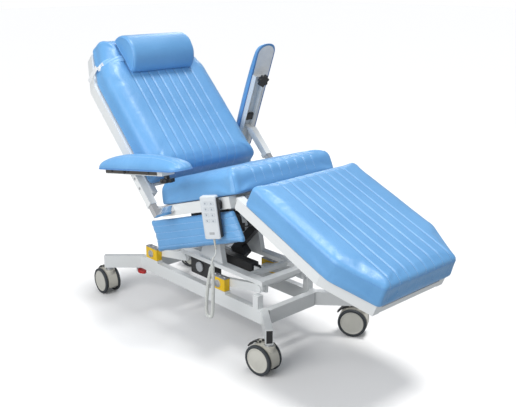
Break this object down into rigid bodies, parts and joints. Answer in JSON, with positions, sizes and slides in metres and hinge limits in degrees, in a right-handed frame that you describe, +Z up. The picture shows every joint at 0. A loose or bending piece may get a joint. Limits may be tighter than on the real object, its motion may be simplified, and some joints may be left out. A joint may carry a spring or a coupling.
{
  "type": "patient recliner chair",
  "caption": "Height-adjustable treatment recliner on casters: padded seat, backrest and legrest on tilting tube frames, folding armrests, parallel-arm lift and a wired handset.",
  "frame": {"origin": "on the floor, under the middle of the chair's length and width", "axes": "+Z up, the foot end points to -Y, the patient's left is +X"},
  "size_m": [0.884, 1.7656, 1.2365],
  "materials": {
    "white_powder_coat": "semi-gloss powder coat",
    "black_plastic": "matte",
    "yellow_plastic": "satin",
    "red_plastic": "satin",
    "bright_steel": "polished",
    "cream_plastic": "satin",
    "cream_and_grey_wheel": "satin disc with a dark tread",
    "chrome_stem": "mirror",
    "blue_leatherette": "soft leatherette with pale stitching",
    "light_grey_plastic": "satin",
    "white_cord": "satin"
  },
  "bodies": {
    "base": {"base_frame": "white_powder_coat", "outrigger_plugs": "black_plastic", "pivot_blocks": "yellow_plastic", "caster_stems": "bright_steel"},
    "pedal": {"foot_pedal": "red_plastic"},
    "caster_front_right": {"caster_hood_front_right": "cream_plastic"},
    "wheels_front_right": {"caster_wheels_front_right": "cream_and_grey_wheel"},
    "lever_front_right": {"caster_lever_front_right": "black_plastic"},
    "caster_rear_right": {"caster_hood_rear_right": "cream_plastic"},
    "wheels_rear_right": {"caster_wheels_rear_right": "cream_and_grey_wheel"},
    "lever_rear_right": {"caster_lever_rear_right": "black_plastic"},
    "caster_front_left": {"caster_hood_front_left": "cream_plastic"},
    "wheels_front_left": {"caster_wheels_front_left": "cream_and_grey_wheel"},
    "lever_front_left": {"caster_lever_front_left": "black_plastic"},
    "caster_rear_left": {"caster_hood_rear_left": "cream_plastic"},
    "wheels_rear_left": {"caster_wheels_rear_left": "cream_and_grey_wheel"},
    "lever_rear_left": {"caster_lever_rear_left": "black_plastic"},
    "rear_arms": {"rear_lift_arms": "white_powder_coat"},
    "front_arms": {"front_lift_arms": "white_powder_coat"},
    "chassis": {"chassis_frame": "white_powder_coat"},
    "lift_housing": {"lift_actuator_body": "black_plastic"},
    "lift_rod": {"lift_actuator_rod": "bright_steel"},
    "tilt_housing": {"tilt_actuator_body": "black_plastic"},
    "tilt_rod": {"tilt_actuator_rod": "bright_steel"},
    "seat": {"seat_frame": "white_powder_coat", "hinge_pins": "bright_steel", "seat_cushion": "blue_leatherette", "side_skirts": "blue_leatherette", "control_box": "black_plastic", "back_actuator_body": "black_plastic", "leg_actuator_body": "black_plastic", "armrest_mounts": "chrome_stem", "handset_hook": "black_plastic", "handset_shell": "light_grey_plastic", "strain_relief": "cream_plastic", "handset_cord": "white_cord", "handset_cord_curl": "white_cord"},
    "backrest": {"backrest_frame": "white_powder_coat", "backrest_cushion": "blue_leatherette", "head_pillow": "blue_leatherette"},
    "legrest": {"legrest_frame": "white_powder_coat", "legrest_cushion": "blue_leatherette"},
    "back_rod": {"back_actuator_rod": "bright_steel"},
    "leg_rod": {"leg_actuator_rod": "bright_steel"},
    "armrest_slide_right": {"armrest_post_right": "white_powder_coat"},
    "armrest_right": {"armrest_channel_right": "white_powder_coat", "armrest_pad_right": "blue_leatherette"},
    "clamp_knob_right": {"armrest_knob_right": "black_plastic"},
    "armrest_slide_left": {"armrest_post_left": "white_powder_coat"},
    "armrest_left": {"armrest_channel_left": "white_powder_coat", "armrest_pad_left": "blue_leatherette"},
    "clamp_knob_left": {"armrest_knob_left": "black_plastic"},
    "button_1": {"handset_button_1": "light_grey_plastic"},
    "button_2": {"handset_button_2": "light_grey_plastic"},
    "button_3": {"handset_button_3": "light_grey_plastic"},
    "button_4": {"handset_button_4": "light_grey_plastic"},
    "button_5": {"handset_button_5": "light_grey_plastic"},
    "button_6": {"handset_button_6": "light_grey_plastic"},
    "button_7": {"handset_button_7": "light_grey_plastic"},
    "button_8": {"handset_button_8": "light_grey_plastic"}
  },
  "joints": [
    {"name": "pedal_rock", "type": "hinge", "parent": "base", "child": "pedal", "pos_m": [-0.156, 0.64295, 0.122], "axis": [0, 1, 0], "range_deg": [-8, 8], "stiffness_Nm_per_rad": 2},
    {"name": "swivel_front_right", "type": "hinge", "parent": "base", "child": "caster_front_right", "pos_m": [-0.24393, -0.3501, 0.11], "axis": [0, 0, 1], "continuous": true},
    {"name": "roll_front_right", "type": "hinge", "parent": "caster_front_right", "child": "wheels_front_right", "pos_m": [-0.24734, -0.32231, 0.0625], "axis": [0.9925, 0.1219, 0], "continuous": true},
    {"name": "brake_front_right", "type": "hinge", "parent": "caster_front_right", "child": "lever_front_right", "pos_m": [-0.24923, -0.30691, 0.12973], "axis": [-0.9925, -0.1219, 0], "range_deg": [0, 5]},
    {"name": "swivel_rear_right", "type": "hinge", "parent": "base", "child": "caster_rear_right", "pos_m": [-0.26732, 0.74836, 0.11], "axis": [0, 0, 1], "continuous": true},
    {"name": "roll_rear_right", "type": "hinge", "parent": "caster_rear_right", "child": "wheels_rear_right", "pos_m": [-0.26537, 0.77629, 0.0625], "axis": [0.9976, -0.0698, 0], "continuous": true},
    {"name": "brake_rear_right", "type": "hinge", "parent": "caster_rear_right", "child": "lever_rear_right", "pos_m": [-0.26429, 0.79178, 0.12973], "axis": [-0.9976, 0.0698, 0], "range_deg": [0, 5]},
    {"name": "swivel_front_left", "type": "hinge", "parent": "base", "child": "caster_front_left", "pos_m": [0.28232, -0.36646, 0.11], "axis": [0, 0, 1], "continuous": true},
    {"name": "roll_front_left", "type": "hinge", "parent": "caster_front_left", "child": "wheels_front_left", "pos_m": [0.26832, -0.34221, 0.0625], "axis": [0.866, 0.5, 0], "continuous": true},
    {"name": "brake_front_left", "type": "hinge", "parent": "caster_front_left", "child": "lever_front_left", "pos_m": [0.26056, -0.32877, 0.12973], "axis": [-0.866, -0.5, 0], "range_deg": [0, 5]},
    {"name": "swivel_rear_left", "type": "hinge", "parent": "base", "child": "caster_rear_left", "pos_m": [0.26732, 0.74836, 0.11], "axis": [0, 0, 1], "continuous": true},
    {"name": "roll_rear_left", "type": "hinge", "parent": "caster_rear_left", "child": "wheels_rear_left", "pos_m": [0.2615, 0.77575, 0.0625], "axis": [0.9781, 0.2079, 0], "continuous": true},
    {"name": "brake_rear_left", "type": "hinge", "parent": "caster_rear_left", "child": "lever_rear_left", "pos_m": [0.25828, 0.79093, 0.12973], "axis": [-0.9781, -0.2079, 0], "range_deg": [0, 5]},
    {"name": "lift", "type": "hinge", "parent": "base", "child": "rear_arms", "pos_m": [0, 0.54095, 0.2344], "axis": [-1, 0, 0], "range_deg": [0, 50]},
    {"name": "chassis_level", "type": "hinge", "parent": "rear_arms", "child": "chassis", "pos_m": [0, 0.31262, 0.27261], "axis": [-1, 0, 0], "range_deg": [-50, 0]},
    {"name": "front_arms_turn", "type": "hinge", "parent": "base", "child": "front_arms", "pos_m": [0, 0.05295, 0.2344], "axis": [-1, 0, 0], "range_deg": [0, 50]},
    {"name": "lift_housing_tilt", "type": "hinge", "parent": "chassis", "child": "lift_housing", "pos_m": [-0.035, -0.06205, 0.30261], "axis": [-1, 0, 0], "range_deg": [-1, 2]},
    {"name": "lift_rod_slide", "type": "slide", "parent": "lift_housing", "child": "lift_rod", "axis": [0, 1, 0], "range_m": [-0.001, 0.0245]},
    {"name": "tilt_housing_turn", "type": "hinge", "parent": "chassis", "child": "tilt_housing", "pos_m": [0.045, 0.18895, 0.29], "axis": [1, 0, 0], "range_deg": [-3, 7]},
    {"name": "tilt_rod_slide", "type": "slide", "parent": "tilt_housing", "child": "tilt_rod", "axis": [0, -0.6932, 0.7208], "range_m": [-0.04, 0.0135]},
    {"name": "tilt", "type": "hinge", "parent": "chassis", "child": "seat", "pos_m": [0, 0.13295, 0.518], "axis": [1, 0, 0], "range_deg": [-6, 17.4]},
    {"name": "backrest_fold", "type": "hinge", "parent": "seat", "child": "backrest", "pos_m": [0, 0.30025, 0.5338], "axis": [1, 0, 0], "range_deg": [-62, 15]},
    {"name": "legrest_fold", "type": "hinge", "parent": "seat", "child": "legrest", "pos_m": [0, -0.19955, 0.677], "axis": [-1, 0, 0], "range_deg": [-32, 40]},
    {"name": "back_rod_slide", "type": "slide", "parent": "seat", "child": "back_rod", "axis": [0, 1, 0], "range_m": [-0.0515, 0.013]},
    {"name": "leg_rod_slide", "type": "slide", "parent": "seat", "child": "leg_rod", "axis": [0, -0.9542, 0.299], "range_m": [-0.043, 0.0535]},
    {"name": "armrest_height_right", "type": "slide", "parent": "seat", "child": "armrest_slide_right", "axis": [0, 0.7034, 0.7108], "range_m": [0, 0.115]},
    {"name": "armrest_fold_right", "type": "hinge", "parent": "armrest_slide_right", "child": "armrest_right", "pos_m": [-0.364, 0.37106, 0.7043], "axis": [-1, 0, 0], "range_deg": [0, 60.8]},
    {"name": "knob_turn_right", "type": "hinge", "parent": "armrest_right", "child": "clamp_knob_right", "pos_m": [-0.364, 0.11638, 0.74555], "axis": [0, -0.1599, -0.9871], "continuous": true},
    {"name": "armrest_height_left", "type": "slide", "parent": "seat", "child": "armrest_slide_left", "axis": [0, 0.7034, 0.7108], "range_m": [-0.115, 0]},
    {"name": "armrest_fold_left", "type": "hinge", "parent": "armrest_slide_left", "child": "armrest_left", "pos_m": [0.364, 0.45195, 0.78604], "axis": [-1, 0, 0], "range_deg": [-60.8, 0]},
    {"name": "knob_turn_left", "type": "hinge", "parent": "armrest_left", "child": "clamp_knob_left", "pos_m": [0.364, 0.36371, 1.02849], "axis": [0, -0.9397, -0.342], "continuous": true},
    {"name": "button_1_press", "type": "slide", "parent": "seat", "child": "button_1", "axis": [0.8988, 0.4384, 0], "range_m": [0, 0.0015], "stiffness_N_per_m": 300},
    {"name": "button_2_press", "type": "slide", "parent": "seat", "child": "button_2", "axis": [0.8988, 0.4384, 0], "range_m": [0, 0.0015], "stiffness_N_per_m": 300},
    {"name": "button_3_press", "type": "slide", "parent": "seat", "child": "button_3", "axis": [0.8988, 0.4384, 0], "range_m": [0, 0.0015], "stiffness_N_per_m": 300},
    {"name": "button_4_press", "type": "slide", "parent": "seat", "child": "button_4", "axis": [0.8988, 0.4384, 0], "range_m": [0, 0.0015], "stiffness_N_per_m": 300},
    {"name": "button_5_press", "type": "slide", "parent": "seat", "child": "button_5", "axis": [0.8988, 0.4384, 0], "range_m": [0, 0.0015], "stiffness_N_per_m": 300},
    {"name": "button_6_press", "type": "slide", "parent": "seat", "child": "button_6", "axis": [0.8988, 0.4384, 0], "range_m": [0, 0.0015], "stiffness_N_per_m": 300},
    {"name": "button_7_press", "type": "slide", "parent": "seat", "child": "button_7", "axis": [0.8988, 0.4384, 0], "range_m": [0, 0.0015], "stiffness_N_per_m": 300},
    {"name": "button_8_press", "type": "slide", "parent": "seat", "child": "button_8", "axis": [0.8988, 0.4384, 0], "range_m": [0, 0.0015], "stiffness_N_per_m": 300}
  ],
  "couplings": [
    {"joint": "chassis_level", "follows": "lift", "ratio": -1},
    {"joint": "front_arms_turn", "follows": "lift", "ratio": 1},
    {"joint": "lift_housing_tilt", "follows": "lift", "ratio": 0.025},
    {"joint": "lift_rod_slide", "follows": "lift", "m_per_rad": 0.0272},
    {"joint": "tilt_housing_turn", "follows": "tilt", "ratio": 0.366},
    {"joint": "tilt_rod_slide", "follows": "tilt", "m_per_rad": -0.1255},
    {"joint": "back_rod_slide", "follows": "backrest_fold", "m_per_rad": 0.0471},
    {"joint": "leg_rod_slide", "follows": "legrest_fold", "m_per_rad": 0.0755}
  ]
}
